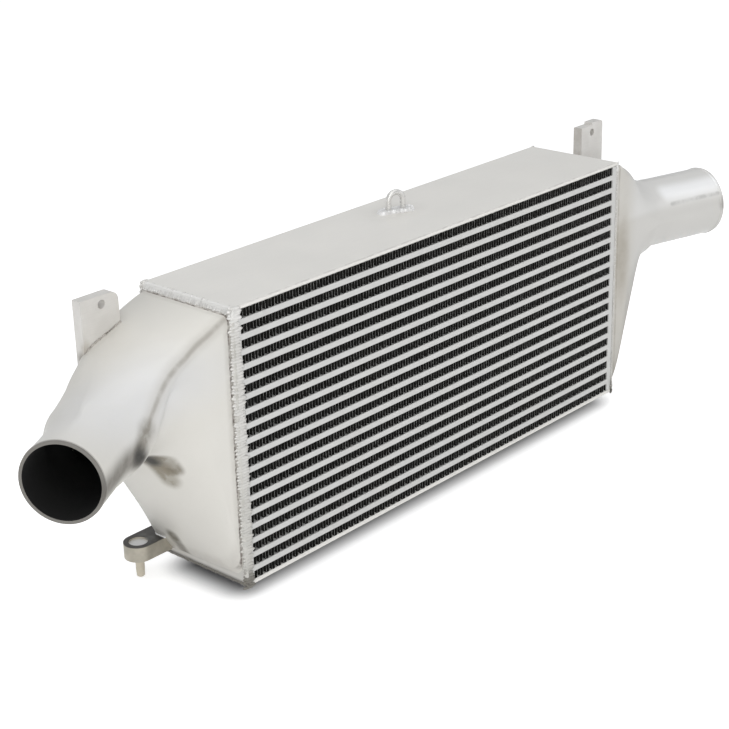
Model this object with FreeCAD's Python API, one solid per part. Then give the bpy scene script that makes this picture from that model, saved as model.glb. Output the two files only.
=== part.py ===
import FreeCAD, Part
import math
import os

# Bar-and-plate air-to-air charge cooler, in millimetres, +Z up.
# The origin is the centre of the core's underside: +X runs along the core to
# the short-necked tank, and -Y is the face that meets the wind.

V = FreeCAD.Vector
UP = V(0, 0, 1)

# Core stack
AIR_ROWS = 19
AIR_ROW_HEIGHT = 9.1
TUBE_HEIGHT = 5.65
END_PLATE = 4.5
FIN_LENGTH = 592.0
HEADER_WIDTH = 8.0
CORE_DEPTH = 120.0
CORE_EDGE_BREAK = 1.0

# Charge tube section
TUBE_SKIN = 0.6
TUBE_BAR = 5.0
TUBE_WEB = 0.6
TUBE_CELLS = 4

# Air fin: a folded strip
FIN_FOLD_PITCH = 37.0
FIN_THICKNESS = 0.5
FIN_EDGE_INSET = 0.8

# Tank flanges against the core's ends
FLANGE_INSET_SIDE = 2.0
FLANGE_INSET_TOP = 6.5
FLANGE_INSET_BOTTOM = 5.5
TANK_WALL = 3.0
SEAM_CORNER = 4.0
BEAD_LEG = 4.0
BEAD_PROUD = 0.6
BEAD_EASE = 1.0
LEAST_CORNER = 1.0
LEAST_FLAT = 1.0

# Shares of a tank's bend: where its hollow starts, and a neck's hollow over a body
HOLLOW_SHARE = -0.004
NECK_HOLLOW_SHARE = 0.3

# Left tank: long taper to a pipe that points outwards and forwards
LEFT_REACH = 184.0
LEFT_PIPE_DIAMETER = 76.2
LEFT_PIPE_ANGLE = 29.7
LEFT_PIPE_LENGTH = 30.0
LEFT_RING_SETBACK = 9.2
LEFT_RING_DROP = 92.3

# Right tank: short dome and a long neck
RIGHT_REACH = 106.0
RIGHT_PIPE_DIAMETER = 80.0
RIGHT_PIPE_ANGLE = 16.0
RIGHT_PIPE_LENGTH = 83.7
RIGHT_RING_SETBACK = 22.2
RIGHT_RING_DROP = 88.6

# Where each neck is a full circle, measured from its ring along the pipe
LEFT_RING_RUNS = [-16.0, -12.0, -8.0]
RIGHT_RING_RUNS = [-12.0, -6.0, 0.0]
RING_FLAT = 4.0

# Upper brackets
BRACKET_THICKNESS = 11.4
BRACKET_WIDTH = 44.0
BRACKET_FROM_BACK = 25.5
BRACKET_RISE = 11.4
BRACKET_CORNER = 9.0
BRACKET_HOLE = 8.5
BRACKET_HOLE_DROP = 8.5
BRACKET_STEP = 3.0
LEFT_BRACKET_OUT = 96.5
LEFT_BRACKET_FOOT = 24.0
LEFT_HOLE_FROM_EDGE = 20.0
RIGHT_BRACKET_OUT = 65.0
RIGHT_ARM_ROOT = 20.0
RIGHT_ARM_DEPTH = 60.0
RIGHT_ARM_RISE = 30.0
RIGHT_ARM_DROP = 28.0

# Lower lug and pin
LUG_THICKNESS = 16.0
LUG_END_RADIUS = 14.8
LUG_TOP = 24.0
LUG_FROM_BACK = 2.0
LUG_REACH = 34.0
LUG_DISH = 19.0
LUG_DISH_DEPTH = 5.0
PIN_ROOT_DIAMETER = 10.0
PIN_DIAMETER = 9.0
PIN_TIP_DIAMETER = 8.2
PIN_DROP = 22.0
PIN_NECK = 2.0
PIN_TAPER = 8.0
PIN_CHAMFER = 1.0
PIN_HEAD_HEIGHT = 3.0

# Lifting loop on the top plate
LOOP_ROD = 6.0
LOOP_BEND = 8.2
LOOP_LEG = 12.8
LOOP_X = 7.0
LOOP_FROM_BACK = 44.0
LOOP_ANGLE = -24.0
LOOP_PAD_LENGTH = 43.0
LOOP_PAD_WIDTH = 15.0
LOOP_PAD_HEIGHT = 3.0
LOOP_PAD_SLOPE = 1.5

# Modelling margins
TOUCH = 0.01
CUT_OVERRUN = 1.0

core_length = FIN_LENGTH + 2 * HEADER_WIDTH
core_height = AIR_ROWS * AIR_ROW_HEIGHT + (AIR_ROWS - 1) * TUBE_HEIGHT + 2 * END_PLATE
row_pitch = AIR_ROW_HEIGHT + TUBE_HEIGHT
half_length = core_length / 2
half_depth = CORE_DEPTH / 2
bracket_top = core_height + BRACKET_RISE
bracket_front = half_depth - BRACKET_FROM_BACK
lug_x = -half_length - LUG_REACH
lug_y = half_depth - LUG_FROM_BACK
loop_y = half_depth - LOOP_FROM_BACK


def box(x0, x1, y0, y1, z0, z1):
    return Part.makeBox(x1 - x0, y1 - y0, z1 - z0, V(x0, y0, z0))


def save(name, shape):
    shape.exportStep(os.path.join("parts", name + ".step"))


# Core stack

def end_plate(z0):
    """One of the two thick plates that close the stack."""
    plate = box(-half_length, half_length, -half_depth, half_depth, z0, z0 + END_PLATE)
    outer = [e for e in plate.Edges
             if abs(e.CenterOfMass.y) > half_depth - TOUCH and e.Length > core_length / 2]
    return plate.makeChamfer(CORE_EDGE_BREAK, outer)


def charge_tube(z0):
    """A flat tube between the headers, closed by a bar along each face and split by webs."""
    tube = box(-FIN_LENGTH / 2, FIN_LENGTH / 2, -half_depth, half_depth, z0, z0 + TUBE_HEIGHT)
    inner_width = CORE_DEPTH - 2 * TUBE_BAR
    cell = (inner_width - (TUBE_CELLS - 1) * TUBE_WEB) / TUBE_CELLS
    cells = []
    for i in range(TUBE_CELLS):
        y0 = -inner_width / 2 + i * (cell + TUBE_WEB)
        cells.append(box(-FIN_LENGTH / 2, FIN_LENGTH / 2, y0, y0 + cell,
                         z0 + TUBE_SKIN, z0 + TUBE_HEIGHT - TUBE_SKIN))
    return tube.cut(Part.makeCompound(cells))


def air_fin_row(z0):
    """A folded strip whose crests touch the tubes above and below it."""
    folds = max(2, int(round(FIN_LENGTH / FIN_FOLD_PITCH)))
    half_pitch = FIN_LENGTH / folds / 2
    low = z0
    high = z0 + AIR_ROW_HEIGHT - FIN_THICKNESS
    lower_line = []
    for i in range(2 * folds + 1):
        lower_line.append(V(-FIN_LENGTH / 2 + i * half_pitch, 0, high if i % 2 else low))
    upper_line = [p + V(0, 0, FIN_THICKNESS) for p in reversed(lower_line)]
    outline = Part.makePolygon(lower_line + upper_line + [lower_line[0]])
    depth = CORE_DEPTH - 2 * FIN_EDGE_INSET
    outline.translate(V(0, -depth / 2, 0))
    return Part.Face(outline).extrude(V(0, depth, 0))


def header(side):
    """The end of the stack: bars that close the air rows, with a slot at each charge tube."""
    inner = side * FIN_LENGTH / 2
    outer = side * half_length
    x0 = min(inner, outer)
    x1 = max(inner, outer)
    body = box(x0, x1, -half_depth, half_depth, END_PLATE, core_height - END_PLATE)
    slots = []
    for i in range(AIR_ROWS - 1):
        z0 = END_PLATE + AIR_ROW_HEIGHT + i * row_pitch
        slots.append(box(x0, x1, -half_depth + TUBE_BAR, half_depth - TUBE_BAR,
                         z0 + TUBE_SKIN, z0 + TUBE_HEIGHT - TUBE_SKIN))
    return body.cut(Part.makeCompound(slots))


# End tanks

class Tank:
    """A tank whose neck is lofted from the core's end to a round pipe, with or without a body under it."""

    def __init__(self, side, reach, diameter, turn, pipe_length, setback, drop, ring_runs, neck, body):
        self.side = side
        self.reach = reach
        self.radius = diameter / 2
        self.turn = turn
        self.pipe_length = pipe_length
        self.ring_runs = ring_runs
        self.neck = neck
        self.body = body
        self.seam_x = side * half_length
        angle = math.radians(turn)
        self.axis = V(side * math.cos(angle), -math.sin(angle), 0)
        self.ring = V(self.seam_x + side * reach, setback - half_depth, core_height - drop)
        self.mouth = self.ring + self.axis * pipe_length

    def frame(self, along):
        """Centre and forward direction of the section at a share of the bend."""
        turn = math.radians(self.turn * along)
        forward = V(self.side * -math.sin(turn), -math.cos(turn), 0)
        start = V(self.seam_x, 0, 0)
        end = V(self.ring.x, self.ring.y, 0)
        knee = end - self.axis * (self.reach / 2 / abs(self.axis.x))
        centre = start * (1 - along) ** 2 + knee * (2 * along * (1 - along)) + end * along ** 2
        return centre, forward

    def rectangle(self, station, inset):
        """Rounded rectangle between the seam and the ring."""
        along, fall, rise, front_in, back_in, round_off, chin = station
        centre, forward = self.frame(along)
        seam_half = half_depth - FLANGE_INSET_SIDE
        front = seam_half + (self.radius - seam_half) * front_in
        back = seam_half + (self.radius - seam_half) * back_in
        half = (front + back) / 2 - inset
        centre = centre + forward * ((front - back) / 2)
        seam_top = core_height - FLANGE_INSET_TOP
        top = seam_top + (self.ring.z + self.radius - seam_top) * fall - inset
        bottom = FLANGE_INSET_BOTTOM + (self.ring.z - self.radius - FLANGE_INSET_BOTTOM) * rise + inset
        corner = SEAM_CORNER + (self.radius - SEAM_CORNER) * round_off - inset
        corner = max(LEAST_CORNER, min(corner, half - LEAST_FLAT, (top - bottom) / 2 - LEAST_FLAT))
        room = min(2 * half, top - bottom) - corner - 2 * LEAST_FLAT
        chin_corner = corner + (room - corner) * chin
        corners = [(1, 1, 0, corner), (-1, 1, 90, corner), (-1, -1, 180, corner), (1, -1, 270, chin_corner)]
        arcs = []
        for sign_f, sign_z, start, radius in corners:
            pivot_f = sign_f * (half - radius)
            pivot_z = (top if sign_z > 0 else bottom) - sign_z * radius
            arc = []
            for step in (0, 45, 90):
                a = math.radians(start + step)
                arc.append(centre + forward * (pivot_f + radius * math.cos(a))
                           + UP * (pivot_z + radius * math.sin(a)))
            arcs.append(arc)
        edges = []
        for i, arc in enumerate(arcs):
            edges.append(Part.Arc(arc[0], arc[1], arc[2]).toShape())
            edges.append(Part.makeLine(arc[2], arcs[(i + 1) % 4][0]))
        return Part.Wire(edges)

    def ring_wire(self, run, inset):
        """Circle split at the same eight places as the rectangles."""
        centre = self.ring + self.axis * run
        forward = V(self.side * -math.sin(math.radians(self.turn)),
                    -math.cos(math.radians(self.turn)), 0)
        radius = self.radius - inset
        flat = RING_FLAT

        def point(degrees):
            a = math.radians(degrees)
            return centre + forward * (radius * math.cos(a)) + UP * (radius * math.sin(a))

        edges = []
        for i in range(4):
            start = 90 * i + flat
            end = 90 * (i + 1) - flat
            edges.append(Part.Arc(point(start), point(90 * i + 45), point(end)).toShape())
            edges.append(Part.Arc(point(end), point(90 * (i + 1)), point(end + 2 * flat)).toShape())
        return Part.Wire(edges)

    def sections(self, stations, inset):
        """Rectangles at the stations; a hollow's first one lies just past the seam's face."""
        first = (HOLLOW_SHARE if inset else stations[0][0],) + stations[0][1:]
        return [self.rectangle(station, inset) for station in [first] + stations[1:]]

    def skins(self, inset):
        """Closed solids of the neck with its pipe and of the body, the given distance inside.

        Over a body the neck's hollow starts inside the body's own.
        """
        if inset and self.body:
            stations = [station for station in self.neck if station[0] > NECK_HOLLOW_SHARE]
            wires = [self.rectangle(station, inset) for station in stations]
        else:
            wires = self.sections(self.neck, inset)
        wires += [self.ring_wire(run, inset) for run in self.ring_runs]
        last = self.ring_runs[-1]
        pipe = Part.makeCylinder(self.radius - inset, self.pipe_length - last,
                                 self.ring + self.axis * last, self.axis)
        solids = [Part.makeLoft(wires, True, False).fuse(pipe)]
        if self.body:
            solids.append(Part.makeLoft(self.sections(self.body, inset), True, False))
        return solids

    def solid(self):
        """The tank's outer form, filled."""
        skins = self.skins(0)
        return skins[0].fuse(skins[1:]) if self.body else skins[0]

    def shell(self):
        """The tank's wall."""
        wall = self.solid()
        for hollow in self.skins(TANK_WALL):
            wall = wall.cut(hollow)
        return wall


# Each station gives its place along the bend, then how far the top, the bottom,
# the front and the back have moved from the flange to the pipe, the rounding of
# its corners and the extra rounding of the lower front one. The left neck lies
# over a body with a flat front, and comes out of it before the pipe.
LEFT_BODY = [
    (0.0, 0.02, 0.0, 0.0, 0.0, 0.0, 0.0),
    (0.06, 0.09, 0.13, 0.06, 0.03, 0.01, 0.20),
    (0.12, 0.14, 0.30, 0.13, 0.08, 0.02, 0.45),
    (0.25, 0.32, 0.62, 0.38, 0.17, 0.04, 0.80),
    (0.40, 0.56, 0.92, 0.78, 0.30, 0.10, 0.72),
    (0.55, 0.76, 1.0, 1.28, 0.50, 0.25, 0.55),
    (0.68, 0.88, 1.04, 1.80, 0.80, 0.50, 0.20),
]

LEFT_NECK = [
    (0.0, 0.0, 1.74, 0.03, 0.03, 0.0, 0.0),
    (0.12, 0.08, 1.67, 0.085, 0.03, 0.23, 0.0),
    (0.25, 0.26, 1.594, 0.33, 0.05, 0.25, 0.0),
    (0.38, 0.47, 1.50, 0.58, 0.12, 0.30, 0.0),
    (0.47, 0.60, 1.35, 0.70, 0.17, 0.50, 0.0),
    (0.54, 0.69, 1.18, 0.76, 0.25, 0.70, 0.0),
    (0.62, 0.78, 1.046, 0.86, 0.36, 0.86, 0.0),
    (0.75, 0.89, 1.0, 0.98, 0.55, 0.95, 0.0),
    (0.87, 0.96, 1.0, 1.0, 0.82, 0.99, 0.0),
]

RIGHT_NECK = [
    (0.0, 0.0, 0.0, 0.0, 0.0, 0.0, 0.0),
    (0.16, 0.03, 0.27, 0.10, 0.10, 0.20, 0.0),
    (0.32, 0.20, 0.58, 0.38, 0.36, 0.45, 0.0),
    (0.48, 0.52, 0.86, 0.66, 0.62, 0.70, 0.0),
    (0.64, 0.78, 0.95, 0.85, 0.80, 0.88, 0.0),
    (0.81, 0.94, 0.99, 0.96, 0.93, 0.97, 0.0),
]


def weld_bead(side):
    """Fillet of weld around a tank's flange, on the end face of the core."""
    x0 = side * half_length
    x1 = side * (half_length + BEAD_LEG)

    def rectangle(x, inset_side, inset_top, inset_bottom):
        points = [
            V(x, -half_depth + inset_side, inset_bottom),
            V(x, half_depth - inset_side, inset_bottom),
            V(x, half_depth - inset_side, core_height - inset_top),
            V(x, -half_depth + inset_side, core_height - inset_top),
        ]
        return Part.makePolygon(points + [points[0]])

    middle = (x0 + x1) / 2
    outer = rectangle(x0, -BEAD_PROUD, 0, 0)
    bulge = rectangle(middle, -BEAD_PROUD, BEAD_EASE, BEAD_EASE)
    toe = rectangle(x1, FLANGE_INSET_SIDE - BEAD_EASE, FLANGE_INSET_TOP - BEAD_EASE,
                    FLANGE_INSET_BOTTOM - BEAD_EASE)
    return Part.makeLoft([outer, bulge, toe], True, True)


# Fixings

def plate_from(points, y0):
    outline = Part.makePolygon([V(x, y0, z) for x, z in points + [points[0]]])
    return Part.Face(outline).extrude(V(0, BRACKET_THICKNESS, 0))


def bracket_hole(x):
    return Part.makeCylinder(BRACKET_HOLE / 2, BRACKET_THICKNESS + 2 * CUT_OVERRUN,
                             V(x, bracket_front - CUT_OVERRUN, bracket_top - BRACKET_HOLE_DROP), V(0, 1, 0))


def round_corner(plate, x, z, radius):
    """Round the vertical-plane corner of a plate at the given place."""
    for edge in plate.Edges:
        centre = edge.CenterOfMass
        across = edge.Length > BRACKET_THICKNESS - TOUCH
        if across and abs(centre.x - x) < TOUCH and abs(centre.z - z) < TOUCH:
            return plate.makeFillet(radius, [edge])
    return plate


def left_bracket():
    left = -half_length - LEFT_BRACKET_OUT
    right = left + BRACKET_WIDTH
    bottom = bracket_top - BRACKET_WIDTH - LEFT_BRACKET_FOOT
    plate = plate_from([(left, bottom), (right, bottom), (right, bracket_top), (left, bracket_top)],
                       bracket_front)
    plate = round_corner(plate, right, bracket_top, BRACKET_CORNER)
    return plate.cut(bracket_hole(right - LEFT_HOLE_FROM_EDGE))


def right_bracket():
    left = half_length + RIGHT_BRACKET_OUT
    right = left + BRACKET_WIDTH
    middle = left + BRACKET_WIDTH / 2
    arm_top = core_height - RIGHT_ARM_DROP
    root = half_length + RIGHT_ARM_ROOT
    points = [
        (root, arm_top - RIGHT_ARM_DEPTH), (right, arm_top - RIGHT_ARM_RISE),
        (right, bracket_top + BRACKET_STEP), (middle, bracket_top + BRACKET_STEP),
        (middle, bracket_top), (left, bracket_top), (left, arm_top), (root, arm_top),
    ]
    plate = plate_from(points, bracket_front)
    plate = round_corner(plate, right, bracket_top + BRACKET_STEP, BRACKET_CORNER / 2)
    return plate.cut(bracket_hole(middle))


def lug():
    z0 = LUG_TOP - LUG_THICKNESS
    arm = box(lug_x, -half_length, lug_y - LUG_END_RADIUS, lug_y + LUG_END_RADIUS, z0, LUG_TOP)
    boss = Part.makeCylinder(LUG_END_RADIUS, LUG_THICKNESS, V(lug_x, lug_y, z0))
    body = arm.fuse(boss).removeSplitter()
    dish = Part.makeCylinder(LUG_DISH / 2, LUG_DISH_DEPTH, V(lug_x, lug_y, LUG_TOP - LUG_DISH_DEPTH))
    bore = Part.makeCylinder(PIN_ROOT_DIAMETER / 2, LUG_THICKNESS, V(lug_x, lug_y, z0))
    return body.cut(dish).cut(bore)


def pin():
    """Locating pin: a flat head in the lug's dish, a root in its bore and a slimmer free end."""
    seat = LUG_TOP - LUG_DISH_DEPTH
    underside = LUG_TOP - LUG_THICKNESS
    end = underside - PIN_DROP
    head = LUG_DISH / 2
    root = PIN_ROOT_DIAMETER / 2
    free = PIN_DIAMETER / 2
    tip = PIN_TIP_DIAMETER / 2
    profile = Part.makePolygon([
        V(0, 0, seat + PIN_HEAD_HEIGHT), V(head, 0, seat + PIN_HEAD_HEIGHT), V(head, 0, seat),
        V(root, 0, seat), V(root, 0, underside), V(free, 0, underside - PIN_NECK),
        V(free, 0, end + PIN_TAPER), V(tip, 0, end + PIN_CHAMFER), V(tip - PIN_CHAMFER, 0, end),
        V(0, 0, end), V(0, 0, seat + PIN_HEAD_HEIGHT),
    ])
    turned = Part.Face(profile).revolve(V(0, 0, 0), UP, 360)
    turned.translate(V(lug_x, lug_y, 0))
    return turned


def loop():
    """Bent rod, upside-down U, standing on the top plate."""
    bend = core_height + LOOP_LEG
    r = LOOP_ROD / 2
    section = Part.Face(Part.Wire([Part.makeCircle(r, V(LOOP_BEND, 0, bend), UP)]))
    rod = section.revolve(V(0, 0, bend), V(0, -1, 0), 180)
    for x in (-LOOP_BEND, LOOP_BEND):
        rod = rod.fuse(Part.makeCylinder(r, LOOP_LEG, V(x, 0, core_height)))
    rod.rotate(V(0, 0, 0), UP, LOOP_ANGLE)
    rod.translate(V(LOOP_X, loop_y, 0))
    return rod


def loop_weld():
    """Low pad of weld around the loop's feet."""
    z0 = core_height
    straight = LOOP_PAD_LENGTH - LOOP_PAD_WIDTH
    r = LOOP_PAD_WIDTH / 2
    bar = Part.makeBox(straight, LOOP_PAD_WIDTH, LOOP_PAD_HEIGHT, V(-straight / 2, -r, z0))
    ends = [Part.makeCone(r, r - LOOP_PAD_SLOPE, LOOP_PAD_HEIGHT, V(s * straight / 2, 0, z0)) for s in (-1, 1)]
    pad = bar.fuse(ends[0]).fuse(ends[1]).removeSplitter()
    pad.rotate(V(0, 0, 0), UP, LOOP_ANGLE)
    pad.translate(V(LOOP_X, loop_y, 0))
    return pad.cut(loop())


def main():
    os.makedirs("parts", exist_ok=True)
    save("core_bottom_plate", end_plate(0))
    save("core_top_plate", end_plate(core_height - END_PLATE))
    for i in range(AIR_ROWS):
        z0 = END_PLATE + i * row_pitch
        save("air_fin_row_%02d" % (i + 1), air_fin_row(z0))
        if i < AIR_ROWS - 1:
            save("charge_tube_%02d" % (i + 1), charge_tube(z0 + AIR_ROW_HEIGHT))
    left = Tank(-1, LEFT_REACH, LEFT_PIPE_DIAMETER, LEFT_PIPE_ANGLE, LEFT_PIPE_LENGTH, LEFT_RING_SETBACK,
                LEFT_RING_DROP, LEFT_RING_RUNS, LEFT_NECK, LEFT_BODY)
    right = Tank(1, RIGHT_REACH, RIGHT_PIPE_DIAMETER, RIGHT_PIPE_ANGLE, RIGHT_PIPE_LENGTH,
                 RIGHT_RING_SETBACK, RIGHT_RING_DROP, RIGHT_RING_RUNS, RIGHT_NECK, [])
    left_solid = left.solid()
    right_solid = right.solid()
    save("left_header", header(-1))
    save("right_header", header(1))
    save("left_tank", left.shell())
    save("right_tank", right.shell())
    left_bead = weld_bead(-1).cut(left_solid)
    save("left_weld_bead", left_bead)
    save("right_weld_bead", weld_bead(1).cut(right_solid))
    save("left_bracket", left_bracket().cut(left_solid))
    save("right_bracket", right_bracket().cut(right_solid))
    save("lower_lug", lug().cut(left_solid).cut(left_bead))
    save("lower_pin", pin())
    save("top_loop", loop())
    save("top_loop_weld", loop_weld())


main()
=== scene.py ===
"""Looks of a bar-and-plate charge air cooler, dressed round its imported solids."""

import logging
import math
from abc import ABC, abstractmethod
from dataclasses import dataclass, field
from enum import Enum

import bmesh
import bpy
import numpy as np
from mathutils import Matrix, Quaternion, Vector
from mathutils.bvhtree import BVHTree


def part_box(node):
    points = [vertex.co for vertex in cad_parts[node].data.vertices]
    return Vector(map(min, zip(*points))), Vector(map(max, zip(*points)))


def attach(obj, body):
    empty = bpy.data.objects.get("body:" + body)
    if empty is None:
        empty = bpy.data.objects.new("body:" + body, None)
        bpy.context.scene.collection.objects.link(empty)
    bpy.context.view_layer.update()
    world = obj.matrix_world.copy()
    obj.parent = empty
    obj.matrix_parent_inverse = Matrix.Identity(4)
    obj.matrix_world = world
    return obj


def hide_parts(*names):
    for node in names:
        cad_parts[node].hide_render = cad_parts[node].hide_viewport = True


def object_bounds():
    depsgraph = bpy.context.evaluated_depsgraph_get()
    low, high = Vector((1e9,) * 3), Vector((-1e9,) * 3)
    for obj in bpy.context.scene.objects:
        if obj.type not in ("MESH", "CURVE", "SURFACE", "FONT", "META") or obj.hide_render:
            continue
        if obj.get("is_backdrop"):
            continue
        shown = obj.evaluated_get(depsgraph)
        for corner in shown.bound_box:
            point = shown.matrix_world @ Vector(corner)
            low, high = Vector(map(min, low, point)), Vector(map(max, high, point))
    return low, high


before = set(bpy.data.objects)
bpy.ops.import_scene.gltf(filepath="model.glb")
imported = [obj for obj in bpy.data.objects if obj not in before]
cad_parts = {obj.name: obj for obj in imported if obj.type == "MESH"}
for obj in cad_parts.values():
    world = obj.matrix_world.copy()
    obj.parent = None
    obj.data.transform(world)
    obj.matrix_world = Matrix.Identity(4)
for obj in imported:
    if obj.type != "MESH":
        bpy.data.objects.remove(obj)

LOG = logging.getLogger("cooler")
MM = 0.001
BODY = "root"

Colour = tuple[float, float, float]
Point = tuple[float, float, float]
Node, Socket = bpy.types.Node, bpy.types.NodeSocket
Mesh, Material = bpy.types.Mesh, bpy.types.Material

RING_STEPS = 96
CLOUD_LIMITS = (0.3, 0.7)

# Places on a Mix node, whose sockets share names.
MIX_SHARE, MIX_BELOW, MIX_ABOVE, MIX_RESULT = 0, 6, 7, 2


class Grain(Enum):
    """Noise of a surface's height, noise of its streaks and the limits of these."""

    CAST = ((1400.0, 2.0, (1, 1, 1), 0.6), (220.0, 5.0), (0.5, 0.75))
    BRUSHED = ((60.0, 3.0, (0.6, 14.0, 14.0)), (60.0, 3.0, (0.6, 14.0, 14.0)), (0.4, 0.7))
    PUDDLED = ((420.0, 3.0), (160.0, 4.0), (0.45, 0.7))
    SMOOTH = ((900.0, 2.0), (40.0, 3.0), (0.5, 0.8))


class Side(Enum):
    """The two ends of the core."""

    LEFT = -1
    RIGHT = 1

    @property
    def word(self) -> str:
        """Name of the side as the solids' names spell it."""
        return self.name.lower()


class NodeDesk:
    """Short calls for adding nodes to a tree."""

    def __init__(self, tree: bpy.types.NodeTree) -> None:
        """Takes the tree that the calls add to."""
        self.tree = tree

    def add(self, kind: str, inputs: dict[str | int, object] | None = None,
            **settings: object) -> Node:
        """Adds a node and fills its inputs.

        Args:
            kind: the node's type.
            inputs: sockets or values by input name or number.
            **settings: properties set on the node.

        Returns:
            The node.
        """
        node = self.tree.nodes.new(kind)
        for name, value in settings.items():
            setattr(node, name, value)
        for name, value in (inputs or {}).items():
            self.plug(value, node.inputs[name])
        return node

    def plug(self, source: object, target: Socket) -> None:
        """Joins a socket, or sets a plain value.

        Args:
            source: a socket, a node for its first output, or a plain value.
            target: the input socket.
        """
        if isinstance(source, Node):
            source = source.outputs[0]
        if isinstance(source, Socket):
            self.tree.links.new(source, target)
        elif isinstance(source, tuple) and len(target.default_value) == 4:
            target.default_value = (*source, 1.0)
        else:
            target.default_value = source

    def sum(self, operation: str, first: object, second: object = 0.0,
            **settings: object) -> Socket:
        """Result of one sum on numbers."""
        return self.add("ShaderNodeMath", {0: first, 1: second},
                        operation=operation, **settings).outputs[0]

    def times(self, first: object, second: object) -> Socket:
        """Product of two values."""
        return self.sum("MULTIPLY", first, second)

    def vector(self, operation: str, first: object, second: object = (0.0, 0.0, 0.0),
               result: str = "Vector") -> Socket:
        """Named result of one sum on vectors, or on a vector and its scale."""
        place = "Scale" if operation == "SCALE" else 1
        return self.add("ShaderNodeVectorMath", {0: first, place: second},
                        operation=operation).outputs[result]


class Painter(NodeDesk):
    """Short calls for building a shader on object coordinates."""

    def __init__(self, holder: Material | bpy.types.World) -> None:
        """Empties the holder's tree, so that its shader is built anew."""
        holder.use_nodes = True
        super().__init__(holder.node_tree)
        self.tree.nodes.clear()
        self.object_place = self.add("ShaderNodeTexCoord").outputs["Object"]

    def close(self, shader: Node, kind: str = "ShaderNodeOutputMaterial") -> None:
        """Joins the last shader to a new output node."""
        self.plug(shader, self.add(kind).inputs["Surface"])

    def blend(self, share: object, below: object, above: object) -> Socket:
        """Two colours mixed, with a share of the one above."""
        inputs = {MIX_SHARE: share, MIX_BELOW: below, MIX_ABOVE: above}
        return self.add("ShaderNodeMix", inputs, data_type="RGBA").outputs[MIX_RESULT]

    def overlay(self, share: Socket, below: Node, above: Node) -> Node:
        """Two shaders mixed, with a share of the one above."""
        return self.add("ShaderNodeMixShader", {0: share, 1: below, 2: above})

    def spread(self, value: object, low: float, high: float, to_low: float = 0.0,
               to_high: float = 1.0) -> Socket:
        """Maps a value from one range to another, eased at both ends and clamped.

        Args:
            value: the value read.
            low: where the first end is met.
            high: where the second end is met.
            to_low: result at the first end.
            to_high: result at the second end.

        Returns:
            The result's socket.
        """
        return self.add("ShaderNodeMapRange", {
            "Value": value, "From Min": low, "From Max": high, "To Min": to_low,
            "To Max": to_high}, clamp=True, interpolation_type="SMOOTHSTEP").outputs["Result"]

    def placed(self, scale: Point, shift: Point = (0.0, 0.0, 0.0)) -> Socket:
        """Object coordinates multiplied per axis, then shifted."""
        return self.add("ShaderNodeMapping", {
            "Vector": self.object_place, "Scale": scale, "Location": shift}).outputs["Vector"]

    def axis(self, letter: str) -> Socket:
        """One object coordinate, by its letter."""
        return self.add("ShaderNodeSeparateXYZ", {0: self.object_place}).outputs[letter]

    def along(self, way: Point) -> Socket:
        """Object place measured along a direction."""
        return self.vector("DOT_PRODUCT", self.object_place, way, "Value")

    def clouds(self, scale: float, detail: float = 4.0, stretch: Point = (1, 1, 1),
               rough: float = 0.55) -> Socket:
        """Noise on object coordinates.

        Args:
            scale: repeats per metre.
            detail: number of finer layers.
            stretch: factors per axis before the noise.
            rough: weight of the finer layers.

        Returns:
            The noise value's socket.
        """
        return self.add("ShaderNodeTexNoise", {
            "Vector": self.placed(stretch), "Scale": scale, "Detail": detail,
            "Roughness": rough}).outputs["Fac"]

    def patches(self, broken: float, scale: float = 90.0) -> Socket:
        """Ragged share between 1 - broken and 1, at so many repeats per metre."""
        return self.spread(self.clouds(scale, 5.0), 0.38, 0.62, 1.0 - broken, 1.0)


class Mark(ABC):
    """Something laid over a finish's colour."""

    colour: Colour
    strength: float

    @abstractmethod
    def share(self, desk: Painter) -> Socket:
        """How much of the mark shows at each place, before its strength."""

    def lay(self, desk: Painter, below: Socket) -> Socket:
        """The colour below with the mark laid over it."""
        return desk.blend(desk.times(self.share(desk), self.strength), below, self.colour)


@dataclass(frozen=True)
class StainOrPaintedLight(Mark):
    """A soft egg-shaped mark: a stain left by heat or handling, or painted light such as painted
    shade or a painted reflection.
    """

    centre: Point
    reach: Point
    colour: Colour
    strength: float
    broken: float = 0.5
    core: float = 0.15

    def share(self, desk: Painter) -> Socket:
        """Full round the centre and nothing past the reach."""
        scale = tuple(1.0 / r for r in self.reach)
        shift = tuple(-c * s for c, s in zip(self.centre, scale))
        away = desk.vector("LENGTH", desk.placed(scale, shift), result="Value")
        return desk.times(desk.spread(away, self.core, 1.0, 1.0, 0.0), desk.patches(self.broken))


@dataclass(frozen=True)
class Fade(Mark):
    """A colour that comes in along one direction."""

    along: Point
    start: float
    end: float
    colour: Colour
    strength: float

    def share(self, desk: Painter) -> Socket:
        """Nothing up to the start and full from the end on."""
        return desk.spread(desk.along(self.along), self.start, self.end)


@dataclass(frozen=True)
class Band(Mark):
    """A soft stripe across one direction, from a height upwards."""

    along: Point
    middle: float
    half: float
    colour: Colour
    strength: float
    broken: float = 0.5
    scale: float = 90.0
    above: float = -1.0
    core: float = 0.3
    rise: float = 10.0 * MM

    def share(self, desk: Painter) -> Socket:
        """Full along the middle and nothing past the half width."""
        off = desk.sum("ABSOLUTE", desk.sum("SUBTRACT", desk.along(self.along), self.middle))
        stripe = desk.times(desk.spread(off, self.half * self.core, self.half, 1.0, 0.0),
                            desk.patches(self.broken, self.scale))
        return desk.times(stripe, desk.spread(desk.axis("Z"), self.above, self.above + self.rise))


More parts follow.
